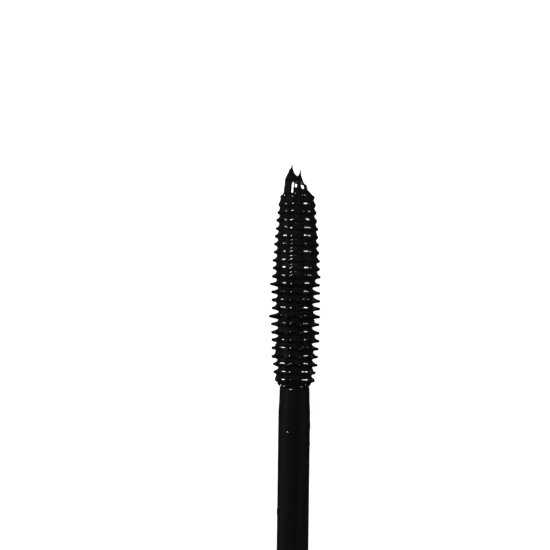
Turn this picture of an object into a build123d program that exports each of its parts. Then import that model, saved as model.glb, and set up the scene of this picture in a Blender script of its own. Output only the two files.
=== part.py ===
from build123d import *
import os
from math import cos, radians, sin

# A mascara: a soft-square tube with its wiper and paste, and a cap that carries the stem and
# the moulded brush. It is drawn open. Tube and cap lie on one side, in line along Y: the cap at
# -Y, the brush pointing to +Y, and the mouth of the tube facing it. Shutting it slides the cap
# along +Y until the washer meets the wiper on the neck, then turns it a quarter turn.
# Millimetres. +Z is up, Z = 0 is the surface it lies on, and the origin is the bottom centre.

# --- driving dimensions ---------------------------------------------------------------------
PACK_WIDTH = 16.5  # across the flats of tube and cap
PACK_CORNER = 5.0  # corner radius of the soft square
SHELL = 0.8  # wall of the cap shell and of the tube's sleeve
EDGE = 0.35  # rounding of outer edges
SLIP = 0.05  # clearance between nested pieces of one body

CAP_LENGTH = 52.0
FLANGE_DEPTH = 14.5  # cap mouth to the inner cap's floor
BODY_LENGTH = 70.0  # shoulder collar, sleeve and base plug
OPEN_GAP = 25.0  # brush tip to tube mouth, as drawn
LID_GAP = 0.4  # cap mouth to shoulder when shut

STEM_RADIUS = 2.0
STEM_REACH = 29.3  # cap mouth to the stem's free end
STEM_NOSE_RADIUS = 1.88

RING_PITCH = 1.0
FIRST_RING = 0.75  # stem end to the first ring of bristles
ROW_RINGS = 22  # rings on the straight part of the core
NOSE_RINGS = 2  # short rings on the core's nose
ROWS = 10
FIRST_ROW = 13.0  # degrees from straight up, towards +X, to the first row of bristles
CORE_RADIUS = 1.75
NOSE_LENGTH = 3.7
NOSE_BRISTLE = 0.5  # how far the nose's short bristles stand out
TIP_RADIUS = 3.04  # bristle tips at the brush's widest
WIDEST_RING = 9
BRISTLE_ROOT = 0.23
BRISTLE_TIP = 0.1
RAIL_WIDTH = 0.3  # elastomer rail that joins one row's bristles, moulded into a groove
RAIL_DEPTH = 0.3
PASTE_LENGTH = 27.6  # stem end to the tip of the wet paste

WASHER = 0.8
NECK_RADIUS = 5.5
NECK_BORE = 4.2
LUG_HEIGHT = 0.8  # thread ridges on the neck and lugs in the cap
LUG_WIDTH = 1.4
LUG_DEPTH = 7.0  # neck mouth to the middle of the cap's lugs when shut
LUG_ARC = 26.0  # degrees
WIPER_FLANGE = 0.7
WIPER_ORIFICE = 2.05

# --- derived sizes and stations along Y ---------------------------------------------------------
AXIS_HEIGHT = PACK_WIDTH / 2
NECK_LENGTH = FLANGE_DEPTH - WASHER + LID_GAP
STRAIGHT_CORE = FIRST_RING + (ROW_RINGS - 0.5) * RING_PITCH
LENGTH = CAP_LENGTH + STEM_REACH + PASTE_LENGTH + OPEN_GAP + NECK_LENGTH + BODY_LENGTH

CAP_END = -LENGTH / 2
CAP_MOUTH = CAP_END + CAP_LENGTH
FLANGE = CAP_MOUTH - FLANGE_DEPTH
BRUSH_BASE = CAP_MOUTH + STEM_REACH
PASTE_TIP = BRUSH_BASE + PASTE_LENGTH
RIM = PASTE_TIP + OPEN_GAP
SHOULDER = RIM + NECK_LENGTH
TUBE_END = SHOULDER + BODY_LENGTH
TRAVEL = RIM - (FLANGE + WASHER) - SLIP

PACK_AXIS = Axis((0, 0, AXIS_HEIGHT), (0, 1, 0))

CAP_INSIDE = AXIS_HEIGHT - SHELL
INNER_CAP_RADIUS = CAP_INSIDE - SLIP
INNER_CAP_BORE = NECK_RADIUS + LUG_HEIGHT + 0.2
LUG_BORE = NECK_RADIUS + 0.25


# --- drawing helpers ------------------------------------------------------------------------
def lengthways(turn=0.0):
    """Plane through the axis: local x runs along +Y, local y points out, turned from +Z towards +X."""
    normal = (cos(radians(turn)), 0, -sin(radians(turn)))
    return Plane(origin=(0, 0, AXIS_HEIGHT), x_dir=(0, 1, 0), z_dir=normal)


def across(station):
    """Plane square to the axis, facing +Y."""
    return Plane(origin=(0, station, AXIS_HEIGHT), x_dir=(1, 0, 0), z_dir=(0, 1, 0))


def outline(*points, turn=0.0):
    """Closed profile of (station, radius) points, to revolve about the axis."""
    with BuildSketch(lengthways(turn)) as profile:
        with BuildLine():
            Polyline(*points, close=True)
        make_face()
    return profile.sketch


def band(start, end, inner, outer, turn=0.0):
    """Rectangular profile of a ring between two stations and two radii."""
    return outline((start, inner), (end, inner), (end, outer), (start, outer), turn=turn)


def soft_square(station, width, corner):
    """Rounded square across the axis."""
    with BuildSketch(across(station)) as profile:
        RectangleRounded(width, width, corner)
    return profile.sketch


def shell_square(station, inset=0.0):
    """The pack's own soft square, moved in by an even inset."""
    return soft_square(station, PACK_WIDTH - 2 * inset, PACK_CORNER - inset)


def save(part, name):
    part.label = name
    export_step(part, f"parts/{name}.step")


def tip_radius(ring):
    """Radius of the bristle tips at a ring: a barrel that narrows to both ends."""
    if ring < WIDEST_RING:
        return TIP_RADIUS - 0.6 * ((WIDEST_RING - ring) / WIDEST_RING) ** 3.5
    return TIP_RADIUS - 0.94 * ((ring - WIDEST_RING) / 14) ** 2.2


def nose_radius(distance):
    """Radius of the core at a distance from the stem end."""
    along = max(0.0, distance - STRAIGHT_CORE) / NOSE_LENGTH
    return CORE_RADIUS * (1 - along**2) ** 0.5


def row_turn(row):
    """Degrees from straight up, towards +X, to a row of bristles."""
    return FIRST_ROW + row * 360 / ROWS


def bristle(station, root, tip, turn=0.0):
    """One bristle standing square to the axis, from radius root to radius tip, with a round end."""
    plane = lengthways(turn)
    shank_end = tip - BRISTLE_TIP
    with BuildPart() as hair:
        with BuildSketch(plane):
            with BuildLine():
                Line((station, root), (station + BRISTLE_ROOT, root))
                Line((station + BRISTLE_ROOT, root), (station + BRISTLE_TIP, shank_end))
                RadiusArc((station + BRISTLE_TIP, shank_end), (station, tip), -BRISTLE_TIP)
                Line((station, tip), (station, root))
            make_face()
        foot = plane.from_local_coords((station, root, 0))
        revolve(axis=Axis(foot, plane.y_dir))
    return hair.part


os.makedirs("parts", exist_ok=True)

# --- tube: sleeve, collar, base --------------------------------------------------------------
COLLAR = 1.8
PLUG = 1.6
COLLAR_BACK = SHOULDER + COLLAR
PLUG_FRONT = TUBE_END - PLUG
SPIGOT = 3.0

with BuildPart() as sleeve:
    extrude(shell_square(COLLAR_BACK), amount=PLUG_FRONT - COLLAR_BACK)
    extrude(shell_square(COLLAR_BACK, SHELL), amount=PLUG_FRONT - COLLAR_BACK, mode=Mode.SUBTRACT)
save(sleeve.part, "sleeve")

with BuildPart() as shoulder_collar:
    extrude(shell_square(SHOULDER), amount=COLLAR)
    fillet(shoulder_collar.faces().sort_by(Axis.Y)[0].edges(), EDGE)
    extrude(shell_square(COLLAR_BACK, SHELL + SLIP), amount=SPIGOT)
    revolve(band(SHOULDER - 1, COLLAR_BACK, 0, NECK_RADIUS + SLIP), axis=PACK_AXIS, mode=Mode.SUBTRACT)
    revolve(band(COLLAR_BACK, COLLAR_BACK + SPIGOT, 0, 7.05), axis=PACK_AXIS, mode=Mode.SUBTRACT)
save(shoulder_collar.part, "shoulder_collar")

with BuildPart() as base_plug:
    extrude(shell_square(PLUG_FRONT), amount=PLUG)
    fillet(base_plug.faces().sort_by(Axis.Y)[-1].edges(), EDGE)
    extrude(shell_square(PLUG_FRONT - SPIGOT, SHELL + SLIP), amount=SPIGOT)
    extrude(shell_square(PLUG_FRONT - SPIGOT, 2 * SHELL + SLIP), amount=SPIGOT, mode=Mode.SUBTRACT)
save(base_plug.part, "base_plug")

# --- tube: vial with its neck -----------------------------------------------------------------
VIAL_RADIUS = 7.0
VIAL_WALL = 1.1
VIAL_END = RIM + 74.6
NECK_TOP = RIM + WIPER_FLANGE
CAVITY_TOP = COLLAR_BACK + 1.3
GROOVE = RIM + 6.5  # undercut that the wiper's bead snaps into
RIDGE_ARC = 87.0
RIDGE_START = 25.0
RIDGE_RISE = 1.5
RIDGE_MIDDLE = LUG_DEPTH - LUG_WIDTH - 0.3  # middle of a ridge over a lug that is home

with BuildPart() as ridge:
    with BuildLine() as climb:
        Helix(RIDGE_RISE * 360 / RIDGE_ARC, RIDGE_RISE, NECK_RADIUS)
    with BuildSketch(Plane(origin=climb.line @ 0, x_dir=(1, 0, 0), z_dir=climb.line % 0)):
        Polygon(
            (-0.3, -LUG_WIDTH / 2),
            (LUG_HEIGHT, -LUG_WIDTH / 4),
            (LUG_HEIGHT, LUG_WIDTH / 4),
            (-0.3, LUG_WIDTH / 2),
            align=None,
        )
    sweep(path=climb.line, is_frenet=True)

with BuildPart() as vial:
    revolve(
        outline(
            (NECK_TOP, NECK_BORE),
            (NECK_TOP, NECK_RADIUS - 0.3),
            (NECK_TOP + 0.3, NECK_RADIUS),
            (COLLAR_BACK, NECK_RADIUS),
            (COLLAR_BACK, VIAL_RADIUS),
            (VIAL_END, VIAL_RADIUS),
            (VIAL_END, 0),
            (VIAL_END - VIAL_WALL, 0),
            (VIAL_END - VIAL_WALL, VIAL_RADIUS - VIAL_WALL),
            (CAVITY_TOP + 1.5, VIAL_RADIUS - VIAL_WALL),
            (CAVITY_TOP, NECK_BORE),
            (GROOVE + 0.5, NECK_BORE),
            (GROOVE, NECK_BORE + 0.3),
            (GROOVE - 0.5, NECK_BORE),
        ),
        axis=PACK_AXIS,
    )
    for half_turn in (0, 180):
        angle = radians(RIDGE_START + half_turn)
        stop_start = RIDGE_START + RIDGE_ARC - 7 + half_turn
        seat = Plane(
            origin=(0, RIM + RIDGE_MIDDLE - RIDGE_RISE * 65 / RIDGE_ARC, AXIS_HEIGHT),
            x_dir=(sin(angle), 0, cos(angle)),
            z_dir=(0, 1, 0),
        )
        add(ridge.part.moved(seat.location))
        stop = band(
            RIM + RIDGE_MIDDLE,
            RIM + LUG_DEPTH + LUG_WIDTH / 2,
            NECK_RADIUS - 0.3,
            NECK_RADIUS + LUG_HEIGHT,
            turn=stop_start,
        )
        revolve(stop, axis=PACK_AXIS, revolution_arc=6)
save(vial.part, "vial")

with BuildPart() as wiper:
    revolve(
        outline(
            (RIM, 3.5),
            (RIM, NECK_RADIUS - 0.4),
            (NECK_TOP, NECK_RADIUS - 0.4),
            (NECK_TOP, NECK_BORE),
            (GROOVE - 0.4, NECK_BORE),
            (GROOVE, NECK_BORE + 0.22),
            (GROOVE + 0.4, NECK_BORE),
            (RIM + 10.0, NECK_BORE - 0.1),
            (RIM + 13.0, WIPER_ORIFICE + 0.5),
            (RIM + 13.5, WIPER_ORIFICE),
            (RIM + 12.8, WIPER_ORIFICE),
            (RIM + 9.6, 3.35),
            (RIM + 2.0, 3.35),
        ),
        axis=PACK_AXIS,
    )
save(wiper.part, "wiper")

# --- tube: paste and weight -------------------------------------------------------------------
CHANNEL_RADIUS = 3.4  # the room that the brush has pushed open in the paste
CHANNEL_END = RIM + 72.2
BULK_TOP = RIM + 24.0

with BuildPart() as mascara_bulk:
    revolve(
        outline(
            (BULK_TOP, CHANNEL_RADIUS),
            (BULK_TOP + 2.5, VIAL_RADIUS - VIAL_WALL),
            (VIAL_END - VIAL_WALL, VIAL_RADIUS - VIAL_WALL),
            (VIAL_END - VIAL_WALL, 0),
            (CHANNEL_END, 0),
            (CHANNEL_END - 1.5, CHANNEL_RADIUS),
        ),
        axis=PACK_AXIS,
    )
save(mascara_bulk.part, "mascara_bulk")

with BuildPart() as base_weight:
    revolve(band(VIAL_END + 0.2, PLUG_FRONT - SPIGOT - 0.2, 0, VIAL_RADIUS), axis=PACK_AXIS)
    chamfer(base_weight.edges(), 0.3)
save(base_weight.part, "base_weight")

# --- cap: shell, end plate, trim, weight, inner cap -------------------------------------------------
END_WALL = 1.4
TRIM = 2.2
TRIM_SPIGOT = 1.5
TRIM_BACK = CAP_MOUTH - TRIM
PLATE = 0.5
PLATE_WIDTH = 11.5
PLATE_CORNER = 3.0

with BuildPart() as cap_shell:
    extrude(shell_square(CAP_END), amount=TRIM_BACK - CAP_END)
    fillet(cap_shell.faces().sort_by(Axis.Y)[0].edges(), EDGE)
    extrude(shell_square(CAP_END + END_WALL, SHELL), amount=CAP_LENGTH, mode=Mode.SUBTRACT)
    extrude(soft_square(CAP_END, PLATE_WIDTH, PLATE_CORNER), amount=PLATE, mode=Mode.SUBTRACT)
save(cap_shell.part, "cap_shell")

with BuildPart() as cap_end_plate:
    extrude(soft_square(CAP_END, PLATE_WIDTH - 2 * SLIP, PLATE_CORNER - SLIP), amount=PLATE)
    chamfer(cap_end_plate.faces().sort_by(Axis.Y)[0].edges(), 0.15)
save(cap_end_plate.part, "cap_end_plate")

with BuildPart() as cap_trim_ring:
    extrude(shell_square(TRIM_BACK), amount=TRIM)
    fillet(cap_trim_ring.faces().sort_by(Axis.Y)[-1].edges(), EDGE)
    extrude(shell_square(TRIM_BACK - TRIM_SPIGOT, SHELL + SLIP), amount=TRIM_SPIGOT)
    revolve(band(TRIM_BACK - 2, CAP_MOUTH + 1, 0, 7.0), axis=PACK_AXIS, mode=Mode.SUBTRACT)
save(cap_trim_ring.part, "cap_trim_ring")

WEIGHT_START = CAP_END + END_WALL + 0.1
WEIGHT_LENGTH = 12.0
INNER_START = WEIGHT_START + WEIGHT_LENGTH + 0.1
INNER_END = TRIM_BACK - TRIM_SPIGOT - 0.1
FLOOR = 1.6
SOCKET_RADIUS = 3.6
ROOT_RADIUS = 2.55
ROOT_LENGTH = 14.0
STEM_COLLAR = 0.5
STEM_COLLAR_RADIUS = 3.4

with BuildPart() as cap_weight:
    revolve(band(WEIGHT_START, WEIGHT_START + WEIGHT_LENGTH, 0, INNER_CAP_RADIUS), axis=PACK_AXIS)
    chamfer(cap_weight.edges(), 0.4)
save(cap_weight.part, "cap_weight")

with BuildPart() as inner_cap:
    revolve(band(INNER_START, INNER_END, 0, INNER_CAP_RADIUS), axis=PACK_AXIS)
    revolve(band(FLANGE, INNER_END, 0, INNER_CAP_BORE), axis=PACK_AXIS, mode=Mode.SUBTRACT)
    revolve(
        band(INNER_START, FLANGE - FLOOR, 0, INNER_CAP_BORE), axis=PACK_AXIS, mode=Mode.SUBTRACT
    )
    revolve(band(FLANGE - ROOT_LENGTH, FLANGE - FLOOR / 2, 0, SOCKET_RADIUS), axis=PACK_AXIS)
    revolve(
        band(FLANGE - ROOT_LENGTH, FLANGE, 0, ROOT_RADIUS), axis=PACK_AXIS, mode=Mode.SUBTRACT
    )
    lug_middle = FLANGE + WASHER + LUG_DEPTH
    for side in (0, 180):
        lug = band(
            lug_middle - LUG_WIDTH / 2,
            lug_middle + LUG_WIDTH / 2,
            LUG_BORE,
            INNER_CAP_BORE + 0.2,
            turn=side - LUG_ARC / 2,
        )
        revolve(lug, axis=PACK_AXIS, revolution_arc=LUG_ARC)
save(inner_cap.part, "inner_cap")

# --- washer --------------------------------------------------------------------------------------
with BuildPart() as seal_washer:
    revolve(
        band(FLANGE + SLIP, FLANGE + WASHER, SOCKET_RADIUS, INNER_CAP_BORE - 0.2), axis=PACK_AXIS
    )
save(seal_washer.part, "seal_washer")

# --- wand: stem --------------------------------------------------------------------------------
SHANK_RADIUS = 1.2
SHANK_LENGTH = 6.0

with BuildPart() as stem:
    revolve(
        outline(
            (FLANGE - ROOT_LENGTH, 0),
            (FLANGE - ROOT_LENGTH, ROOT_RADIUS - 0.35),
            (FLANGE - ROOT_LENGTH + 0.6, ROOT_RADIUS - SLIP),
            (FLANGE, ROOT_RADIUS - SLIP),
            (FLANGE, STEM_COLLAR_RADIUS),
            (FLANGE + STEM_COLLAR, STEM_COLLAR_RADIUS),
            (FLANGE + STEM_COLLAR, STEM_RADIUS + 0.4),
            (FLANGE + STEM_COLLAR + 0.6, STEM_RADIUS),
            (BRUSH_BASE - 3.2, STEM_RADIUS),
            (BRUSH_BASE - 1.8, STEM_NOSE_RADIUS + 0.04),
            (BRUSH_BASE - 0.2, STEM_NOSE_RADIUS),
            (BRUSH_BASE, STEM_NOSE_RADIUS - 0.2),
            (BRUSH_BASE, SHANK_RADIUS),
            (BRUSH_BASE - SHANK_LENGTH - 0.5, SHANK_RADIUS),
            (BRUSH_BASE - SHANK_LENGTH - 0.5, 0),
        ),
        axis=PACK_AXIS,
    )
save(stem.part, "stem")

# --- wand: brush core and its rows of bristles --------------------------------------------------------
nose_start = BRUSH_BASE + STRAIGHT_CORE
first_rail = BRUSH_BASE + FIRST_RING - 0.45
last_rail = BRUSH_BASE + FIRST_RING + (ROW_RINGS - 1) * RING_PITCH + 0.3


def rail(turn=0.0):
    """Strip that joins one row's bristles, let into the core."""
    with BuildPart() as strip:
        with BuildSketch(lengthways(turn)):
            with BuildLine():
                Polyline(
                    (first_rail, CORE_RADIUS - RAIL_DEPTH),
                    (last_rail, CORE_RADIUS - RAIL_DEPTH),
                    (last_rail, CORE_RADIUS + 0.02),
                    (first_rail, CORE_RADIUS + 0.02),
                    close=True,
                )
            make_face()
        extrude(amount=RAIL_WIDTH / 2, both=True)
    return strip.part


with BuildPart() as brush_core:
    with BuildSketch(lengthways()):
        with BuildLine():
            Polyline(
                (nose_start + NOSE_LENGTH, 0),
                (BRUSH_BASE - SHANK_LENGTH, 0),
                (BRUSH_BASE - SHANK_LENGTH, SHANK_RADIUS - 0.2),
                (BRUSH_BASE - SHANK_LENGTH + 0.2, SHANK_RADIUS - 0.01),
                (BRUSH_BASE, SHANK_RADIUS - 0.01),
                (BRUSH_BASE, CORE_RADIUS - 0.1),
                (BRUSH_BASE + 0.1, CORE_RADIUS),
                (nose_start, CORE_RADIUS),
            )
            EllipticalCenterArc((nose_start, 0), NOSE_LENGTH, CORE_RADIUS, start_angle=0, arc_size=90)
        make_face()
    revolve(axis=PACK_AXIS)
    for row in range(ROWS):
        add(rail(row_turn(row)), mode=Mode.SUBTRACT)
    for ring in range(ROW_RINGS, ROW_RINGS + NOSE_RINGS):
        distance = FIRST_RING + ring * RING_PITCH
        for row in range(ROWS):
            add(
                bristle(
                    BRUSH_BASE + distance,
                    nose_radius(distance) - 0.3,
                    min(tip_radius(ring), nose_radius(distance) + NOSE_BRISTLE),
                    turn=row_turn(row),
                )
            )
save(brush_core.part, "brush_core")

with BuildPart() as bristle_row:
    add(rail())
    for ring in range(ROW_RINGS):
        add(bristle(BRUSH_BASE + FIRST_RING + ring * RING_PITCH, CORE_RADIUS, tip_radius(ring)))
for row in range(ROWS):
    save(bristle_row.part.rotate(PACK_AXIS, row_turn(row)), f"bristle_row_{row + 1:02d}")

# --- wand: paste on the brush ----------------------------------------------------------------------
FILM = 0.35
CLOGGED_RING = 12  # from this ring to the tip, paste fills the gaps between the rings


def paste_radius(ring):
    """Outer radius of the paste held between one ring of bristles and the next."""
    return tip_radius(ring) - 0.45 if ring > CLOGGED_RING else CORE_RADIUS + FILM


gap = RING_PITCH / 2 - BRISTLE_ROOT - 0.02
with BuildPart() as mascara_coat:
    for ring in range(ROW_RINGS - 1):
        middle = BRUSH_BASE + FIRST_RING + (ring + 0.5) * RING_PITCH
        revolve(
            band(middle - gap, middle + gap, CORE_RADIUS + 0.02, paste_radius(ring + 0.5)),
            axis=PACK_AXIS,
        )
save(mascara_coat.part, "mascara_coat")

PEAK_START = nose_start + 0.7
PEAK_ROOT = nose_start + NOSE_LENGTH - 0.8
SADDLE = nose_start + NOSE_LENGTH + 0.3  # where the paste parts into its two peaks
with BuildPart() as mascara_tip:
    revolve(
        outline(
            (PEAK_START, 0),
            (PEAK_START, 2.0),
            (PEAK_START + 1.6, 1.65),
            (PEAK_START + 2.8, 1.2),
            (SADDLE, 0.7),
            (SADDLE, 0),
        ),
        axis=PACK_AXIS,
    )
    for offset, width, reach in ((-0.7, 0.72, PASTE_TIP), (0.42, 0.6, PASTE_TIP - 0.5)):
        with Locations(Location((offset, (PEAK_ROOT + reach) / 2, AXIS_HEIGHT), (-90, 0, 0))):
            Cone(width, 0.06, reach - PEAK_ROOT)
    add(brush_core.part, mode=Mode.SUBTRACT)
save(mascara_tip.part, "mascara_tip")

print("travel", round(TRAVEL, 3), "length", round(LENGTH, 3))
for name, value in (
    ("cap end", CAP_END),
    ("cap mouth", CAP_MOUTH),
    ("flange", FLANGE),
    ("brush base", BRUSH_BASE),
    ("paste tip", PASTE_TIP),
    ("rim", RIM),
    ("shoulder", SHOULDER),
    ("tube end", TUBE_END),
):
    print(name, round(value, 3))
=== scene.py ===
from math import cos, pi, radians, sin, tau

import bpy
import numpy as np
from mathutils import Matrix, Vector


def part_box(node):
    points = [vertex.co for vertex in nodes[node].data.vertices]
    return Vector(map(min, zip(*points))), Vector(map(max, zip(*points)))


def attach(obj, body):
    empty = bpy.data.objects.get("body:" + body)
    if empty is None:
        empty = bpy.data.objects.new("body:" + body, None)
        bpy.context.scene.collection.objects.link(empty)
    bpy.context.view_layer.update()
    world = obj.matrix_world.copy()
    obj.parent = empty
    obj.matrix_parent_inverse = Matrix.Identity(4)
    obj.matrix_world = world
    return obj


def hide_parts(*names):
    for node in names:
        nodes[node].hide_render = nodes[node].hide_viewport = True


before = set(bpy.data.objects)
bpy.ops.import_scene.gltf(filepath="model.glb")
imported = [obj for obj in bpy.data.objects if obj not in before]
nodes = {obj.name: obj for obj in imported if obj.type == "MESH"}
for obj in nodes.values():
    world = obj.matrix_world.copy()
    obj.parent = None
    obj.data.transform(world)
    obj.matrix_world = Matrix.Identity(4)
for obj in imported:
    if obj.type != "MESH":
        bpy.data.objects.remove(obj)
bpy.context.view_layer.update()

import openvdb
from mathutils import Matrix, Vector

# The looks of an open mascara: wet paste on the brush, on the wiper and in the vial, and a
# finish for every moulded, turned and anodised piece. Blender works in metres. The paste is
# worked out in millimetres, in the brush's own coordinates: x to the right, u along the axis
# from the stem's end to the tip, z up from the axis. Angles round the axis are measured from
# straight up, towards +X.

MM = 0.001
MICRON = 1e-6

# --- places, read from the frame ------------------------------------------------------------
stem_low, stem_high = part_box("stem")
AXIS_Z = (stem_low.z + stem_high.z) / 2
BRUSH_BASE = stem_high.y
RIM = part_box("wiper")[0].y
bulk_low, bulk_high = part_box("mascara_bulk")
BULK_TOP = bulk_low.y
VIAL_FLOOR = bulk_high.y
VIAL_BORE = (bulk_high.x - bulk_low.x) / 2
CHANNEL_END = VIAL_FLOOR - 1.3 * MM  # the brush leaves this much paste under it

# --- the brush, as the frame has it, in millimetres -----------------------------------------
RING_PITCH = 1.0
FIRST_RING = 0.75
RINGS = 24
ROWS = 10
ROW_SPACING = tau / ROWS
FIRST_ROW = radians(13)
LEFT_ROW, RIGHT_ROW = 7, 2  # the rows at the brush's edges as seen from above
TIP_RADIUS = 3.04
WIDEST_RING = 9
BASE_TAPER, BASE_CURVE = 0.6, 3.5  # how far, and how suddenly, it narrows to the stem
NOSE_TAPER, NOSE_CURVE = 0.94, 2.2  # and to the nose

# --- the paste on it ------------------------------------------------------------------------
CLOGGED_FROM, CLOGGED_OVER = 11.6, 1.8  # rings: from here on the gaps fill up with paste
CREST_SHIFT = 0.12  # the paste's crests sit this far to the tip side of the bristles
BEAD_DEGREES = 6  # each crest breaks up into beads of this length


# --- shaders --------------------------------------------------------------------------------
class Finish:
    """A procedural material. Patterns are placed in the row frame and sized per metre."""

    def __init__(self, name, **surface):
        self.material = bpy.data.materials.new(name)
        self.material.use_nodes = True
        self.tree = self.material.node_tree
        self.surface = self.tree.nodes["Principled BSDF"]
        self.place = self.node("ShaderNodeTexCoord").outputs["Object"]
        for socket, value in surface.items():
            self.surface.inputs[socket.replace("_", " ")].default_value = value

    def node(self, kind, links=None, **settings):
        made = self.tree.nodes.new(kind)
        for key, value in settings.items():
            setattr(made, key, value)
        for socket, value in (links or {}).items():
            self.plug(value, made.inputs[socket])
        return made

    def plug(self, value, socket):
        if isinstance(value, bpy.types.NodeSocket):
            self.tree.links.new(value, socket)
        else:
            socket.default_value = value

    def stretched(self, scale, turn=(0, 0, 0)):
        """Coordinates scaled by an amount on each axis: a large number makes a short grain."""
        turned = self.node("ShaderNodeMapping", {"Vector": self.place, "Rotation": turn})
        links = {"Vector": turned.outputs["Vector"], "Scale": scale}
        return self.node("ShaderNodeMapping", links).outputs["Vector"]

    def noise(self, scale, detail=2.0, roughness=0.5):
        return self.noise_at(self.place, scale, detail, roughness)

    def grain(self, scale, detail=2.0, roughness=0.5, turn=(0, 0, 0)):
        """Noise drawn out along the pack or round it, by a scale on each axis."""
        return self.noise_at(self.stretched(scale, turn), 1.0, detail, roughness)

    def noise_at(self, place, scale, detail, roughness):
        links = {"Vector": place, "Scale": scale, "Detail": detail, "Roughness": roughness}
        return self.node("ShaderNodeTexNoise", links).outputs["Fac"]

    def cells(self, scale):
        links = {"Vector": self.place, "Scale": scale}
        return self.node("ShaderNodeTexVoronoi", links).outputs["Distance"]

    def remap(self, value, low, high, to_low=0.0, to_high=1.0):
        links = {
            "Value": value,
            "From Min": low,
            "From Max": high,
            "To Min": to_low,
            "To Max": to_high,
        }
        made = self.node("ShaderNodeMapRange", links, interpolation_type="SMOOTHSTEP")
        return made.outputs["Result"]

    def maths(self, operation, first, second):
        made = self.node("ShaderNodeMath", operation=operation)
        self.plug(first, made.inputs[0])
        self.plug(second, made.inputs[1])
        return made.outputs["Value"]

    def radius(self):
        """Distance from the pack's axis, in metres."""
        flat = self.node("ShaderNodeVectorMath", operation="MULTIPLY_ADD")
        self.plug(self.place, flat.inputs[0])
        self.plug((1, 0, 1), flat.inputs[1])
        self.plug((0, 0, -AXIS_Z), flat.inputs[2])
        links = {"Vector": flat.outputs["Vector"]}
        return self.node("ShaderNodeVectorMath", links, operation="LENGTH").outputs["Value"]

    def colour(self, share, low, high):
        made = self.node("ShaderNodeMix", data_type="RGBA")
        self.plug(share, made.inputs[0])
        self.plug((*low, 1), made.inputs[6])
        self.plug((*high, 1), made.inputs[7])
        self.plug(made.outputs[2], self.surface.inputs["Base Color"])

    def roughness(self, share):
        self.plug(share, self.surface.inputs["Roughness"])

    def patchy_roughness(self, pattern, low, high):
        """Roughness that follows a noise, whose values mostly lie from 0.3 to 0.7."""
        self.roughness(self.remap(pattern, 0.3, 0.7, low, high))

    def relief(self, *layers):
        """Bumps, each a height pattern with its depth in metres, laid one on another."""
        normal = None
        for height, depth in layers:
            links = {"Height": height, "Distance": depth, "Strength": 1.0}
            if normal is not None:
                links["Normal"] = normal
            normal = self.node("ShaderNodeBump", links).outputs["Normal"]
        self.plug(normal, self.surface.inputs["Normal"])
        return self.material


def wet_paste_finish():
    """Black paste: a dull body under a wet skin, whose share is each point's "wet" value."""
    f = Finish("wet_mascara", Specular_IOR_Level=0.01, IOR=1.42, Coat_Roughness=0.03)
    clouds = f.noise(900, 3)
    f.colour(clouds, (0.0011, 0.0011, 0.0015), (0.0026, 0.0023, 0.0026))
    f.patchy_roughness(clouds, 0.7, 0.9)
    wet = f.node("ShaderNodeAttribute", attribute_name="wet").outputs["Fac"]
    skin = f.maths("MULTIPLY", f.remap(clouds, 0.35, 0.65, 0.8, 1.0), wet)
    f.plug(skin, f.surface.inputs["Coat Weight"])
    return f.relief((f.noise(1900), 3 * MICRON), (f.noise(14000, 1), 0.4 * MICRON))


def elastomer_finish():
    """Black moulded elastomer under the paste, stained and dull."""
    f = Finish("brush_elastomer", Specular_IOR_Level=0.08, IOR=1.45)
    f.colour(f.noise(700, 3), (0.0022, 0.0022, 0.0025), (0.0045, 0.0043, 0.0045))
    f.patchy_roughness(f.noise(1800), 0.55, 0.75)
    return f.relief((f.noise(5000, 3), 3 * MICRON))


def stem_finish():
    """Smooth black stem, dull from the film that the wiper leaves, in streaks lengthways."""
    f = Finish("stem_plastic", Specular_IOR_Level=0.004)
    streaks = f.grain((1800, 90, 1800), 3, 0.6)
    f.colour(streaks, (0.0018, 0.0020, 0.0027), (0.0038, 0.0040, 0.0049))
    f.patchy_roughness(streaks, 0.55, 0.75)
    return f.relief((streaks, 3 * MICRON), (f.noise(6000), 1 * MICRON))


def shell_finish():
    """Gloss black moulding: faint orange peel, hairlines, and smudges from handling."""
    f = Finish("gloss_black_shell", Coat_Weight=0.6, Coat_Roughness=0.03, IOR=1.5)
    handling = f.noise(110, 4, 0.62)
    f.colour(handling, (0.0055, 0.0055, 0.006), (0.0095, 0.0095, 0.010))
    one_way = f.grain((2600, 60, 2600), turn=(0.0, 0.0, 0.24))
    other_way = f.grain((3100, 75, 3100), turn=(0.3, 0.0, -0.4))
    hairlines = f.maths("ADD", f.remap(one_way, 0.66, 0.72), f.remap(other_way, 0.67, 0.73))
    smudges = f.remap(handling, 0.45, 0.7, 0.07, 0.12)
    f.roughness(f.maths("ADD", smudges, f.maths("MULTIPLY", hairlines, 0.04)))
    return f.relief((f.noise(320), 3 * MICRON), (hairlines, -0.2 * MICRON))


def trim_finish():
    """Dark anodised aluminium, turned: fine lines round the pack."""
    f = Finish("dark_anodised_trim", Metallic=1.0)
    lines = f.grain((160, 14000, 160), 4, 0.65)
    broad = f.grain((60, 1800, 60))
    f.colour(lines, (0.10, 0.10, 0.108), (0.25, 0.245, 0.25))
    mixed = f.maths("ADD", f.maths("MULTIPLY", lines, 0.6), f.maths("MULTIPLY", broad, 0.4))
    f.patchy_roughness(mixed, 0.2, 0.4)
    return f.relief((lines, 2.2 * MICRON), (f.noise(500), 1 * MICRON))


def steel_finish():
    """Plain turned steel of the weights."""
    f = Finish("turned_steel", Metallic=1.0)
    lines = f.grain((300, 9000, 300), 4, 0.6)
    f.colour(f.noise(240, 3), (0.42, 0.42, 0.43), (0.60, 0.59, 0.585))
    f.patchy_roughness(lines, 0.22, 0.42)
    return f.relief((lines, 4 * MICRON))


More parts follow.
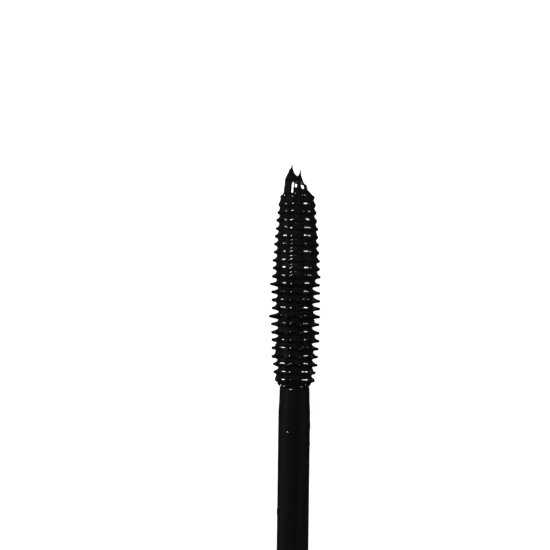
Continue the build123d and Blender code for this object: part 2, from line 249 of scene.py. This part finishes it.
def vial_finish():
    """Black moulded vial and neck: satin, with faint flow marks and a film of dried paste."""
    f = Finish("black_vial", IOR=1.5)
    flow = f.grain((420, 160, 420), 3, 0.55)
    dried = f.remap(f.grain((520, 1500, 520), 4, 0.6), 0.52, 0.66)
    f.colour(dried, (0.012, 0.012, 0.013), (0.005, 0.005, 0.005))
    satin = f.remap(flow, 0.3, 0.7, 0.16, 0.26)
    f.roughness(f.maths("ADD", satin, f.maths("MULTIPLY", dried, 0.07)))
    return f.relief((flow, 5 * MICRON), (dried, 6 * MICRON))


def liner_finish():
    """Matt black liner with a spark-eroded texture."""
    f = Finish("matt_black_liner", IOR=1.48)
    f.colour(f.noise(380, 3), (0.013, 0.013, 0.014), (0.024, 0.024, 0.025))
    f.patchy_roughness(f.noise(2200), 0.5, 0.68)
    return f.relief((f.cells(5200), 9 * MICRON))


def foam_finish():
    """Pale soft sealing foam, its cells just visible."""
    f = Finish("washer_foam", IOR=1.4)
    cells = f.cells(3600)
    f.colour(f.noise(900, 3), (0.62, 0.61, 0.58), (0.78, 0.77, 0.74))
    f.patchy_roughness(cells, 0.7, 0.9)
    return f.relief((cells, 40 * MICRON))


def wiper_finish():
    """Natural polyethylene, milky, stained black inside the funnel and in smears on its face."""
    f = Finish("wiper_plastic", IOR=1.5, Subsurface_Weight=0.15, Subsurface_Scale=0.8 * MM)
    swirl = f.noise(700, 4, 0.6)
    ragged_radius = f.maths("ADD", f.radius(), f.maths("MULTIPLY", swirl, 2.1 * MM))
    inside = f.remap(ragged_radius, 4.8 * MM, 4.2 * MM)
    smears = f.remap(f.grain((330, 330, 330)), 0.60, 0.66)
    stain = f.maths("MAXIMUM", inside, smears)
    f.colour(stain, (0.66, 0.65, 0.61), (0.006, 0.006, 0.006))
    f.roughness(f.remap(stain, 0.0, 1.0, 0.42, 0.14))
    return f.relief((swirl, 8 * MICRON), (stain, 15 * MICRON))


def dress(finish, *names):
    """Give CAD nodes their material."""
    for name in names:
        mesh = nodes[name].data
        mesh.materials.clear()
        mesh.materials.append(finish)


# --- soft steps and joins -------------------------------------------------------------------
def step(value):
    """0 below 0, 1 above 1, smooth between."""
    value = np.clip(value, 0, 1)
    return value * value * (3 - 2 * value)


def rise(value, start, over):
    """0 up to a start, climbing to 1 over the next stretch."""
    return step((value - start) / over)


def fall(value, end, over):
    """1, falling over the last stretch to 0 at an end."""
    return step((end - value) / over)


def band(value, middle, half_width, soft):
    """1 round a middle, falling over a soft edge to 0 at the half width."""
    return step((half_width - np.abs(value - middle)) / soft)


def smooth_min(a, b, reach):
    """The nearer of two distances, rounded off where they are within reach of each other."""
    mix = np.clip(0.5 + 0.5 * (b - a) / reach, 0, 1)
    return b + (a - b) * mix - reach * mix * (1 - mix)


def ripple(rng, waves, *coordinates):
    """Soft irregular variation in about -1..1, from a few waves in random directions."""
    total = 0.0
    for _ in range(waves):
        phase = rng.uniform(0, tau)
        slopes = (rng.uniform(0.5, 1.0) * rng.choice((-1, 1)) * c for c in coordinates)
        total = total + np.sin(sum(slopes) + phase)
    return total / waves**0.5


# --- meshing helpers ------------------------------------------------------------------------
def piece(name, points, faces, body, finish, wet):
    """A smooth piece from points in metres, riding on a body; wet is 0..1 at each point."""
    mesh = bpy.data.meshes.new(name)
    mesh.from_pydata(points, [], faces)
    mesh.shade_smooth()
    shine = mesh.attributes.new("wet", "FLOAT", "POINT")
    shine.data.foreach_set("value", np.asarray(wet, np.float32))
    made = bpy.data.objects.new(name, mesh)
    bpy.context.scene.collection.objects.link(made)
    mesh.materials.append(finish)
    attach(made, body)
    return made


LIMB_BLEND = 0.06  # rounding where two lengths of a limb meet


class Field:
    """A grid of signed distances round the wand's axis, in millimetres, negative inside."""

    def __init__(self, half_width, start, end, voxel):
        self.low = np.array((-half_width, start, -half_width))
        self.voxel = voxel
        span = np.array((half_width, end, half_width)) - self.low
        size = np.ceil(span / voxel).astype(int) + 1
        axes = [self.low[k] + voxel * np.arange(size[k]) for k in range(3)]
        self.x = axes[0].astype(np.float32)[:, None, None]
        self.u = axes[1].astype(np.float32)[None, :, None]
        self.z = axes[2].astype(np.float32)[None, None, :]
        self.radius = np.sqrt(self.x**2 + self.z**2) + 1e-6  # never 0, to divide by
        self.row = (np.arctan2(self.x, self.z) - FIRST_ROW) / ROW_SPACING
        self.ring = (self.u - FIRST_RING) / RING_PITCH
        self.clogged = clogging(self.ring)

    def limb(self, stations, deep):
        """Distance to a tapering limb along stations (x, u, radius) on the level plane, with
        its depth a share of its width."""
        nearest = None
        for (x0, u0, r0), (x1, u1, r1) in zip(stations, stations[1:]):
            dx, du = x1 - x0, u1 - u0
            share = ((self.x - x0) * dx + (self.u - u0) * du) / (dx * dx + du * du)
            share = np.clip(share, 0, 1)
            level = (self.x - x0 - share * dx) ** 2 + (self.u - u0 - share * du) ** 2
            part = np.sqrt(level + (self.z / deep) ** 2) - (r0 + (r1 - r0) * share)
            nearest = part if nearest is None else smooth_min(nearest, part, LIMB_BLEND)
        return nearest

    def mesh(self, distance):
        """The zero surface: its points, still in millimetres, and its faces."""
        reach = 3 * self.voxel
        grid = openvdb.FloatGrid(reach)
        grid.copyFromArray(np.clip(distance, -reach, reach).astype(np.float32))
        points, triangles, quads = grid.convertToPolygons(0.0, 0.0)
        faces = [tuple(corners) for corners in quads.tolist() + triangles.tolist()]
        return points * self.voxel + self.low, faces


# --- wet paste on the brush -----------------------------------------------------------------
def clogging(ring):
    """0 where the gaps between the rings are open, 1 where they are full of paste."""
    return rise(ring, CLOGGED_FROM, CLOGGED_OVER)


def tip_radius(ring):
    """Radius of the bristle tips: a barrel that narrows to both ends."""
    below = np.clip(WIDEST_RING - ring, 0, None) / WIDEST_RING
    above = np.clip(ring - WIDEST_RING, 0, None) / (RINGS - 1 - WIDEST_RING)
    return TIP_RADIUS - BASE_TAPER * below**BASE_CURVE - NOSE_TAPER * above**NOSE_CURVE


def bristle_lengths(rng):
    """How far the paste on each bristle reaches from the axis, by row and ring."""
    beyond = 0.03  # paste past the bristle's own tip
    reach = np.tile(tip_radius(np.arange(RINGS)) + beyond, (ROWS, 1))
    reach += rng.normal(0, 0.035, reach.shape).clip(-0.06, 0.09)
    reach[:, 11:] += 0.07  # thicker where the brush is clogged
    reach[LEFT_ROW, 8] += 0.28  # two strings of paste drawn out on the left
    reach[LEFT_ROW, 12] += 0.22
    reach[LEFT_ROW, RINGS - 1] = tip_radius(RINGS - 1) + beyond
    return reach


def film_on_core(field, rng):
    """Distance to the film on the core: thin and ringed near the stem, clogged to the tip."""
    ring, clogged = field.ring, field.clogged
    thin = 2.06  # radius of the film while the gaps are open
    full = tip_radius(ring) - (0.52 - 0.022 * np.clip(ring - 13, 0, None))
    film = thin + (full - thin) * clogged
    crest = (0.5 + 0.5 * np.cos(tau * (ring - CREST_SHIFT))) ** 1.2 * rise(field.u, 0.2, 0.4)
    film = film + crest * (0.28 - 0.14 * clogged)
    film = film - 0.22 * (1 - rise(field.u, -0.05, 0.6))  # runs out at the stem
    film = film + clogged * (0.08 + 0.07 * field.x / field.radius)  # fuller on the right
    # fuller again in the last rings, most of all on the left
    film = film + rise(ring, 20.2, 1.6) * (0.12 - 0.05 * field.x / field.radius)
    film = film - 0.5 * np.clip(field.u - 23.45, 0, None)  # a shoulder before the nose
    across, upwards = 3.0 * field.x / field.radius, 3.0 * field.z / field.radius
    film = film + 0.035 * ripple(rng, 6, across, upwards, 4.0 * field.u)
    surface = np.maximum(field.radius - film, field.u - 24.0)
    return np.maximum(surface, -0.02 - field.u)


def patches(field, rng):
    """Thickness of the patches where paste fills the gap between four bristles."""
    gap_row, gap_ring = np.floor(field.row), np.floor(field.ring)
    amounts = rng.uniform(0, 1, (ROWS, RINGS + 4)) ** 5 * 0.5  # few large ones
    this_ring = np.clip(gap_ring.astype(int) + 1, 0, RINGS + 2)
    amount = amounts[gap_row.astype(int) % ROWS, this_ring]
    window = np.sin(pi * (field.row - gap_row)) * np.sin(pi * (field.ring - gap_ring))
    return amount * window**2 * (1 - 0.7 * field.clogged)


def fills(field, rng):
    """Thickness of the fills between neighbouring bristles of one row."""
    nearest_row, gap_ring = np.round(field.row), np.floor(field.ring)
    amounts = rng.uniform(0, 1, (ROWS, RINGS + 2)) ** 2.5 * 0.32
    amounts[LEFT_ROW, 3] = 0.42  # the one fill that shows at the brush's edge
    this_ring = np.clip(gap_ring.astype(int), 0, RINGS)
    amount = amounts[nearest_row.astype(int) % ROWS, this_ring]
    window = np.cos(pi * (field.row - nearest_row)) * np.sin(pi * (field.ring - gap_ring))
    window = window**2 * rise(field.u, 0.6, 0.3)
    return amount * window * (1 - 0.8 * field.clogged)


SHEATH_FOOT = 1.2  # radius at which the sheaths start, inside the core
SHEATH_ROOT = 0.69  # half their thickness there
FIRST_SHEATH_ROOT = 0.48  # slimmer in the ring next to the stem
SHEATH_TIP = 0.17  # half their thickness at the tip, at the least
SHEATH_CURVE = 1.25  # above 1 they slim down fastest near the root
NO_BRISTLE = 5.0  # a distance too large to matter


def sheaths(field, rng):
    """Distance to the bristles in their sheaths of paste, each thorn leaning its own way."""
    reach = bristle_lengths(rng)
    lean_turn = rng.normal(0, 0.04, reach.shape)
    lean_along = rng.normal(0, 0.03, reach.shape)
    lean_along[RIGHT_ROW - 1 : RIGHT_ROW + 2] -= 0.07
    root = SHEATH_ROOT + rng.normal(0, 0.02, reach.shape)
    root[:, 0] = FIRST_SHEATH_ROOT
    tip = SHEATH_TIP + rng.uniform(0, 0.05, reach.shape)
    nearest_row, nearest_ring = np.round(field.row), np.round(field.ring)
    next_row = np.where(field.row >= nearest_row, 1, -1)
    next_ring = np.where(field.ring >= nearest_ring, 1, -1)
    all_sheaths = None
    for rows_on in (0, 1):
        row = nearest_row + rows_on * next_row
        angle = FIRST_ROW + row * ROW_SPACING
        out = field.x * np.sin(angle) + field.z * np.cos(angle)
        across = field.x * np.cos(angle) - field.z * np.sin(angle)
        past_foot = np.clip(SHEATH_FOOT - out, 0, None)
        k = row.astype(int) % ROWS
        for rings_on in (0, 1):
            ring = nearest_ring + rings_on * next_ring
            there = (ring >= 0) & (ring < RINGS)
            station = FIRST_RING + ring * RING_PITCH
            i = np.clip(ring, 0, RINGS - 1).astype(int)
            end = reach[k, i] - tip[k, i]
            share = np.clip((out - SHEATH_FOOT) / (end - SHEATH_FOOT), 0, 1)
            away = (across - lean_turn[k, i] * share**2) ** 2
            away = away + (field.u - station - lean_along[k, i] * share**2) ** 2
            away = away + np.clip(out - end, 0, None) ** 2 + past_foot**2
            width = tip[k, i] + (root[k, i] - tip[k, i]) * (1 - share) ** SHEATH_CURVE
            sheath = np.where(there, np.sqrt(away) - width, NO_BRISTLE)
            all_sheaths = sheath if all_sheaths is None else smooth_min(all_sheaths, sheath, 0.12)
    return all_sheaths


# The paste at the tip, in limbs on the level plane: stations of x, u and half width.
NOSE = ((0.0, 23.9, 1.80), (0.02, 25.0, 1.53), (0.02, 25.9, 1.38))
LEFT_PEAK = (
    (-0.49, 24.9, 1.20),
    (-0.65, 25.7, 0.92),
    (-0.76, 26.2, 0.62),
    (-0.775, 26.5, 0.46),
    (-0.77, 27.0, 0.29),
    (-0.71, 27.3, 0.13),
    (-0.68, 27.6, 0.08),
    (-0.67, 27.95, 0.045),
)
RIGHT_PEAK = (
    (0.20, 25.2, 0.60),
    (0.25, 25.6, 0.50),
    (0.28, 26.1, 0.33),
    (0.34, 26.55, 0.14),
    (0.43, 27.25, 0.045),
)
STUB = ((0.85, 24.5, 0.55), (1.0, 25.08, 0.25))


def paste_at_tip(field):
    """Distance to a round of paste over the nose, cut away at its right, with two peaks drawn
    out of it and a stub beside them."""
    x, u, z = field.x, field.u, field.z
    right_cut = x - 0.84 - 0.45 * np.clip(25.47 - u, 0, None) - np.clip(24.65 - u, 0, None)
    end_cut = 0.96 * (u - 26.0 + 0.5 * np.clip(x, 0, None)) + 0.26 * z
    end_cut = end_cut + 0.2 * np.clip(-z, 0, None) ** 2
    kept = smooth_min(-right_cut, -end_cut, 0.12)
    nose = -smooth_min(-field.limb(NOSE, 1.0), kept, 0.22)
    peaks = smooth_min(field.limb(LEFT_PEAK, 0.85), field.limb(RIGHT_PEAK, 0.85), 0.08)
    return smooth_min(smooth_min(nose, peaks, 0.12), field.limb(STUB, 0.7), 0.05)


def paste_on_brush(finish):
    """The wet coat, as one mesh."""
    field = Field(half_width=3.5, start=-0.4, end=28.2, voxel=0.09)
    rng = np.random.default_rng(11)
    surface = film_on_core(field, rng)
    surface = surface - patches(field, rng)
    surface = surface - fills(field, rng)
    surface = smooth_min(surface, sheaths(field, rng), 0.30)
    surface = smooth_min(surface, paste_at_tip(field), 0.15)
    here, faces = field.mesh(surface)
    points = here * MM + np.array((0, BRUSH_BASE, AXIS_Z))
    made = piece(
        "wet_mascara_on_brush", points, faces, "cap_and_wand", finish, wetness(here)
    )
    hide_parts("mascara_coat", "mascara_tip")


# --- where that paste shines ----------------------------------------------------------------
def webs_between_rows(turn, row, ring):
    """Wetness of the webs between neighbouring bristles of a ring, with the turn in degrees:
    wide where the paste is thin, and in two strips of the brush where it is deep."""
    off_row = np.abs(row - np.round(row))
    thin = rise(off_row, 0.16, 0.12) * rise(np.abs(turn - 2), 17, 3)
    thin = thin * (1 - 0.6 * rise(np.abs(turn - 3), 50, 6))
    left_strip = band(turn, -35, 8, 3) * (1 - 0.75 * rise(ring, 17, 3))
    deep = np.maximum(left_strip, band(turn, 31, 12, 3))
    return thin + (deep - thin) * clogging(ring)


def nose_bars(x, u):
    """Wetness of the three bright bars on the nose."""
    left = band(x, 0.1 * (u - 24.9) - 0.60, 0.13, 0.05) * rise(u, 24.1, 0.1)
    middle = rise(x, -0.31, 0.05) * fall(x, 0.18 - 0.4 * (25.6 - u), 0.05) * rise(u, 24.85, 0.1)
    right = band(x, 0.46 + 0.3 * (25.55 - u), 0.15, 0.05) * rise(u, 24.7, 0.1)
    return (left + middle + right) * (1 - rise(u, 25.6, 0.15))


def wetness(points):
    """How wet the paste looks: glossy on the crests between bristles and over the nose, dull
    in the troughs and out on the bristles."""
    x, u, z = points.T
    radius = np.hypot(x, z)
    turn = np.arctan2(x, z)
    row = (turn - FIRST_ROW) / ROW_SPACING
    turn = np.degrees(turn)
    ring = (u - FIRST_RING) / RING_PITCH - CREST_SHIFT
    off_ring = np.abs(ring - np.round(ring))
    nearest = np.clip(np.round(ring).astype(int), 0, RINGS)
    clogged = clogging(ring)

    # each web has dried by its own amount
    rng = np.random.default_rng(5)
    drying = rng.uniform(0.3, 1, (ROWS, RINGS + 2))
    webs = webs_between_rows(turn, row, ring) * drying[np.floor(row).astype(int) % ROWS, nearest]

    # every web breaks up into beads
    bead_count = 360 // BEAD_DEGREES
    beads = rng.uniform(0, 1, (RINGS + 2, bead_count))
    place = turn / BEAD_DEGREES
    before = np.floor(place).astype(int)
    share = step(place - before)
    bead = beads[nearest, before % bead_count] * (1 - share)
    bead = bead + beads[nearest, (before + 1) % bead_count] * share
    beaded = rise(bead, 0.2, 0.4)

    # a column of small dots beside the dry middle
    dots = band(turn, -16, 5, 3) * (0.5 + 0.5 * np.maximum(clogged, beaded))

    # crests end before the nose, and where the bristles stand out of the paste
    crest = 1 - rise(off_ring, 0.06, 0.10)
    crest = crest * np.maximum(webs * beaded * (1 - 0.2 * clogged), dots)
    crest = crest * (1 - rise(ring, 23.1, 0.2))
    open_bare = np.maximum(tip_radius(ring) - 0.80, 2.38)
    clogged_bare = tip_radius(ring) - 0.25
    bare = open_bare + (clogged_bare - open_bare) * clogged + 0.35 * rise(ring, 17, 3)
    crest = crest * (1 - rise(radius, bare, 0.12))

    # small glints in the clogged troughs
    trough = 0.04 * band(turn, -2, 4, 2) + 0.6 * band(turn, -16, 3.5, 2) * fall(ring, 18.5, 1)
    trough = trough * clogged * rise(off_ring, 0.38, 0.08)
    return np.maximum(nose_bars(x, u), np.maximum(crest, trough))


# --- droplets on the wand -------------------------------------------------------------------
DOME_SINK = 0.04  # how far a dome's edge lies under the cylinder it sits on
DOME_CURVE = 0.7  # below 1 its sides are steeper than a round one's
DOME_ROUNDS, DOME_SPOKES = 8, 24


def droplets_on_wand(finish):
    """Small domes of paste, each lying on a cylinder round the axis. Every row below is the
    cylinder's radius, the station from the stem's end, degrees round from straight up, half
    length, half width and height."""
    spots = (
        # where the brush meets the stem
        (1.93, -0.36, -14, 0.16, 0.24, 0.10),
        (2.05, 0.22, 39, 0.12, 0.14, 0.16),
        (1.90, 0.00, 26, 0.10, 0.34, 0.12),
        # round the foot of the nose
        (2.02, 23.88, 26, 0.12, 0.34, 0.12),
        (2.02, 23.84, -51, 0.20, 0.10, 0.13),
        (1.96, 24.06, -7, 0.10, 0.12, 0.12),
        # where the brush meets the stem, on the left
        (1.92, 0.04, -42, 0.14, 0.20, 0.12),
        (1.92, 0.10, -66, 0.20, 0.20, 0.12),
        # along the stem
        (1.96, -5.65, -24, 0.14, 0.22, 0.09),
        (1.98, -4.9, 86, 0.9, 0.30, 0.07),
        (1.98, -7.2, 94, 0.5, 0.22, 0.06),
        (1.98, -15.8, -88, 0.6, 0.26, 0.07),
        (1.98, -11.5, 150, 0.8, 0.22, 0.06),
        (1.98, -18.0, 205, 0.5, 0.30, 0.06),
    )
    rng = np.random.default_rng(3)
    points, faces = [], []
    for base, station, degrees, half_length, half_width, height in spots:
        turn = radians(degrees)
        top = len(points)
        lobes = [(waves, rng.uniform(0.02, 0.13), rng.uniform(0, tau)) for waves in (2, 3, 5)]
        points.append((base + height, station, turn))
        for k in range(1, DOME_ROUNDS):
            share = k / (DOME_ROUNDS - 1)
            out = base - DOME_SINK + (height + DOME_SINK) * (1 - share**2) ** DOME_CURVE
            for angle in np.arange(DOME_SPOKES) * tau / DOME_SPOKES:
                bulge = sum(size * cos(waves * angle + phase) for waves, size, phase in lobes)
                rim = share * (1 + share * bulge)
                along = station + rim * half_length * sin(angle)
                points.append((out, along, turn + rim * half_width * cos(angle) / base))
        first, last = top + 1, top + 1 + (DOME_ROUNDS - 2) * DOME_SPOKES
        for s in range(DOME_SPOKES):
            t = (s + 1) % DOME_SPOKES
            faces.append((top, first + s, first + t))
            for a in range(first, last, DOME_SPOKES):
                b = a + DOME_SPOKES
                faces.append((a + s, b + s, b + t, a + t))
        faces.append(tuple(last + s for s in reversed(range(DOME_SPOKES))))
    placed = [
        (out * sin(turn) * MM, BRUSH_BASE + along * MM, AXIS_Z + out * cos(turn) * MM)
        for out, along, turn in points
    ]
    wet = np.ones(len(placed))
    piece("droplets_on_wand", placed, faces, "cap_and_wand", finish, wet)


# --- paste in the vial and on the wiper -----------------------------------------------------
SPOKES = 112
OUTLINE_STEP = 0.25  # length of the facets along an outline
LUMP_WAVES = 10


def lumps(rng, turn, slanted):
    """Irregular swelling, 0 to 1, round and along a turned piece."""
    total = 0
    for _ in range(LUMP_WAVES):
        waves, slant, phase = rng.integers(1, 10), rng.uniform(-2.2, 2.2), rng.uniform(0, tau)
        total = total + np.sin(waves * turn + slant * slanted + phase) / LUMP_WAVES**0.5
    return np.clip(0.5 + 0.6 * total, 0, 1)


def turned(name, outline, finish, seed, wet):
    """Paste in the tube, turned about the axis from an outline in the half plane. Each corner
    is a station and a radius, and how far at most lumps move it along and outwards. An outline
    that starts on the axis ends on it too; any other is a closed ring."""
    solid = outline[0][1] == 0
    ends = outline[1:] if solid else outline[1:] + outline[:1]
    rows = []
    for start, end in zip(outline, ends):
        length = np.hypot(end[0] - start[0], end[1] - start[1])
        count = max(1, round(length / OUTLINE_STEP))
        shares = np.arange(count)[:, None]
        rows.append(np.array(start) + np.subtract(end, start) * shares / count)
    rows = np.concatenate(rows)[1 if solid else 0 :]
    station, radius, lump_along, lump_out = (rows[:, k : k + 1] for k in range(4))
    turn = np.arange(SPOKES)[None, :] * tau / SPOKES
    swelling = lumps(np.random.default_rng(seed), turn, station + radius)
    along, out = station + swelling * lump_along, radius + swelling * lump_out
    points = np.stack((out * np.sin(turn), along, out * np.cos(turn)), axis=-1).reshape(-1, 3)

    count = len(rows)
    s = np.arange(SPOKES)
    t = (s + 1) % SPOKES
    faces = []
    for i in range(count - 1 if solid else count):
        a, b = i * SPOKES, (i + 1) % count * SPOKES
        faces += np.stack((a + s, a + t, b + t, b + s), axis=-1).tolist()
    if solid:
        first_pole, last_pole = len(points), len(points) + 1
        points = np.concatenate((points, [(0, outline[0][0], 0), (0, outline[-1][0], 0)]))
        last = (count - 1) * SPOKES
        faces += np.stack((t, s, np.full(SPOKES, first_pole)), axis=-1).tolist()
        faces += np.stack((last + s, last + t, np.full(SPOKES, last_pole)), axis=-1).tolist()
    placed = points * MM + (0, 0, AXIS_Z)
    return piece(name, placed, faces, "tube", finish, np.full(len(points), wet))


def paste_in_vial(finish):
    """What is left in the vial: packed to the wall, its top slumped, with the channel that the
    brush makes."""
    inset = 0.04  # from the vial's wall and floor
    bore = 3.48  # radius of the channel
    top, channel_end = BULK_TOP / MM, CHANNEL_END / MM
    wall, floor = VIAL_BORE / MM - inset, VIAL_FLOOR / MM - inset
    outline = [
        (floor, 0, 0, 0),
        (floor, wall, 0, 0),
        (top + 2.6, wall, 1.6, 0),
        (top + 1.0, wall - 0.9, 1.9, 0),
        (top + 0.6, 3.8, 1.2, 0.1),
        (top + 2.2, bore, 0.6, 0.35),
        (channel_end - 1.6, bore, 0, 0.5),
        (channel_end, 1.8, 0.4, 0),
        (channel_end + 0.1, 0, 0, 0),
    ]
    made = turned("paste_in_vial", outline, finish, seed=8, wet=0.8)
    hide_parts("mascara_bulk")


def paste_on_wiper(finish):
    """Paste wiped off the stem: a roll in the bottom of the funnel and smears up its wall."""
    rim = RIM / MM
    roll = [
        (rim + 9.2, 3.42, 0, 0),
        (rim + 10.2, 3.05, -1.2, -0.25),
        (rim + 11.6, 2.45, -0.6, -0.20),
        (rim + 12.7, 2.20, 0, 0),
        (rim + 12.6, 2.30, 0, 0),
        (rim + 9.8, 3.50, 0, 0),
    ]
    smears = [
        (rim + 0.35, 3.56, 0, 0),
        (rim + 0.7, 3.50, 0, -0.22),
        (rim + 2.2, 3.44, 0, -0.34),
        (rim + 4.6, 3.43, 0, -0.24),
        (rim + 7.4, 3.42, 0, 0),
        (rim + 6.8, 3.52, 0, 0),
        (rim + 1.5, 3.60, 0, 0),
    ]
    turned("wiped_paste_in_funnel", roll, finish, seed=21, wet=0.9)
    turned("wiped_paste_at_mouth", smears, finish, seed=30, wet=0.9)


# --- camera ---------------------------------------------------------------------------------
VIEW_WIDTH = 69.0 * MM  # how much of the row frame the picture shows, at the wand's height
LENS = 135.0
SENSOR = 36.0
ROLL = radians(0.75)  # the wand leans this far to the right going up the picture
BASE_RIGHT_OF_MIDDLE = 2.46 * MM  # where the brush's base lies in the picture
BASE_BELOW_MIDDLE = 13.93 * MM


def camera():
    """Straight down on the wand, from far enough for a flat view."""
    data = bpy.data.cameras.new("camera")
    data.lens = LENS
    data.sensor_width = SENSOR
    data.clip_start = 0.01
    made = bpy.data.objects.new("camera", data)
    bpy.context.scene.collection.objects.link(made)
    right = Vector((cos(ROLL), sin(ROLL), 0))
    up = Vector((-sin(ROLL), cos(ROLL), 0))
    base = Vector((0, BRUSH_BASE, AXIS_Z))
    middle = base - BASE_RIGHT_OF_MIDDLE * right + BASE_BELOW_MIDDLE * up
    made.location = middle + Vector((0, 0, VIEW_WIDTH * LENS / SENSOR))
    made.rotation_euler = (0, 0, ROLL)
    bpy.context.scene.camera = made


# --- floor and light ------------------------------------------------------------------------
LIT_SPOT = Vector((0, BRUSH_BASE + 13 * MM, AXIS_Z))  # the middle of the brush
FLOOR_HALF_WIDTH = 2.5
FLOOR_GLOW = 0.84  # lifts the white paper to pure white in the picture


def light(name, round_axis, towards_tip, along, across, power, distance=0.6):
    """A rectangular light facing the brush. round_axis is its angle round the wand, from
    straight up towards the right; towards_tip leans it up the picture; along and across are
    its sides and distance how far off it stands, in metres; power is in watts."""
    data = bpy.data.lights.new(name, "AREA")
    data.shape = "RECTANGLE"
    data.size = along
    data.size_y = across
    data.energy = power
    made = bpy.data.objects.new(name, data)
    bpy.context.scene.collection.objects.link(made)
    turn, lean = radians(round_axis), radians(towards_tip)
    away = Vector((sin(turn) * cos(lean), sin(lean), cos(turn) * cos(lean)))
    lengthways = Vector((-sin(turn) * sin(lean), cos(lean), -cos(turn) * sin(lean)))
    sideways = away.cross(lengthways)
    facing = Matrix((lengthways, sideways, away)).transposed().to_4x4()
    made.matrix_world = Matrix.Translation(LIT_SPOT + away * distance) @ facing
    return made


def lights():
    """Four boxes that show only in reflections, mostly in the wet paste, and an overhead that
    lights everything and is reflected in nothing."""
    boxes = (
        light("left_window", -45, 24, along=0.50, across=0.19, power=14.0),
        light("left_box", -75, 4, along=0.28, across=0.36, power=20.0),
        light("right_box", 52, 10, along=0.38, across=0.40, power=26.0),
        light("front_window", -20, 18, along=0.12, across=0.30, power=10.0),
    )
    for box in boxes:
        box.visible_diffuse = False
    overhead = light("overhead", 0, 0, along=1.6, across=1.6, power=6.0, distance=1.2)
    overhead.visible_glossy = False


def room():
    """Surroundings that are pale at the horizon and dark overhead, so that black stays black."""
    world = bpy.data.worlds.new("room")
    world.use_nodes = True
    tree = world.node_tree
    direction = tree.nodes.new("ShaderNodeTexCoord").outputs["Generated"]
    height = tree.nodes.new("ShaderNodeSeparateXYZ")
    tree.links.new(direction, height.inputs["Vector"])
    shade = tree.nodes.new("ShaderNodeMapRange")
    shade.interpolation_type = "SMOOTHSTEP"
    tree.links.new(height.outputs["Z"], shade.inputs["Value"])
    limits = {"From Min": 0.0, "From Max": 0.5, "To Min": 0.55, "To Max": 0.02}
    for socket, value in limits.items():
        shade.inputs[socket].default_value = value
    background = tree.nodes["Background"]
    background.inputs["Color"].default_value = (0.94, 0.97, 1.0, 1)
    tree.links.new(shade.outputs["Result"], background.inputs["Strength"])
    bpy.context.scene.world = world


def white_floor():
    """A sheet of white paper, wider than any view."""
    paper = Finish("white_paper", Roughness=0.9)
    paper.colour(paper.noise(60, 3), (0.90, 0.90, 0.90), (0.93, 0.93, 0.93))
    paper.surface.inputs["Emission Color"].default_value = (1, 1, 1, 1)
    paper.surface.inputs["Emission Strength"].default_value = FLOOR_GLOW
    mesh = bpy.data.meshes.new("floor")
    w = FLOOR_HALF_WIDTH
    mesh.from_pydata([(-w, -w, 0), (w, -w, 0), (w, w, 0), (-w, w, 0)], [], [(0, 1, 2, 3)])
    mesh.materials.append(paper.material)
    floor = bpy.data.objects.new("floor", mesh)
    bpy.context.scene.collection.objects.link(floor)
    floor.visible_glossy = False


# --- the scene ------------------------------------------------------------------------------
bpy.context.scene.view_settings.view_transform = "Standard"
bpy.context.scene.view_settings.look = "None"
camera()
room()
white_floor()
lights()

paste = wet_paste_finish()
dress(shell_finish(), "sleeve", "base_plug", "cap_shell")
dress(trim_finish(), "shoulder_collar", "cap_trim_ring", "cap_end_plate")
dress(steel_finish(), "base_weight", "cap_weight")
dress(vial_finish(), "vial")
dress(liner_finish(), "inner_cap")
dress(foam_finish(), "seal_washer")
dress(wiper_finish(), "wiper")
dress(stem_finish(), "stem")
bristle_rows = [f"bristle_row_{k:02d}" for k in range(1, ROWS + 1)]
dress(elastomer_finish(), "brush_core", *bristle_rows)
dress(paste, "mascara_bulk", "mascara_coat", "mascara_tip")

paste_on_brush(paste)
paste_in_vial(paste)
paste_on_wiper(paste)
droplets_on_wand(paste)
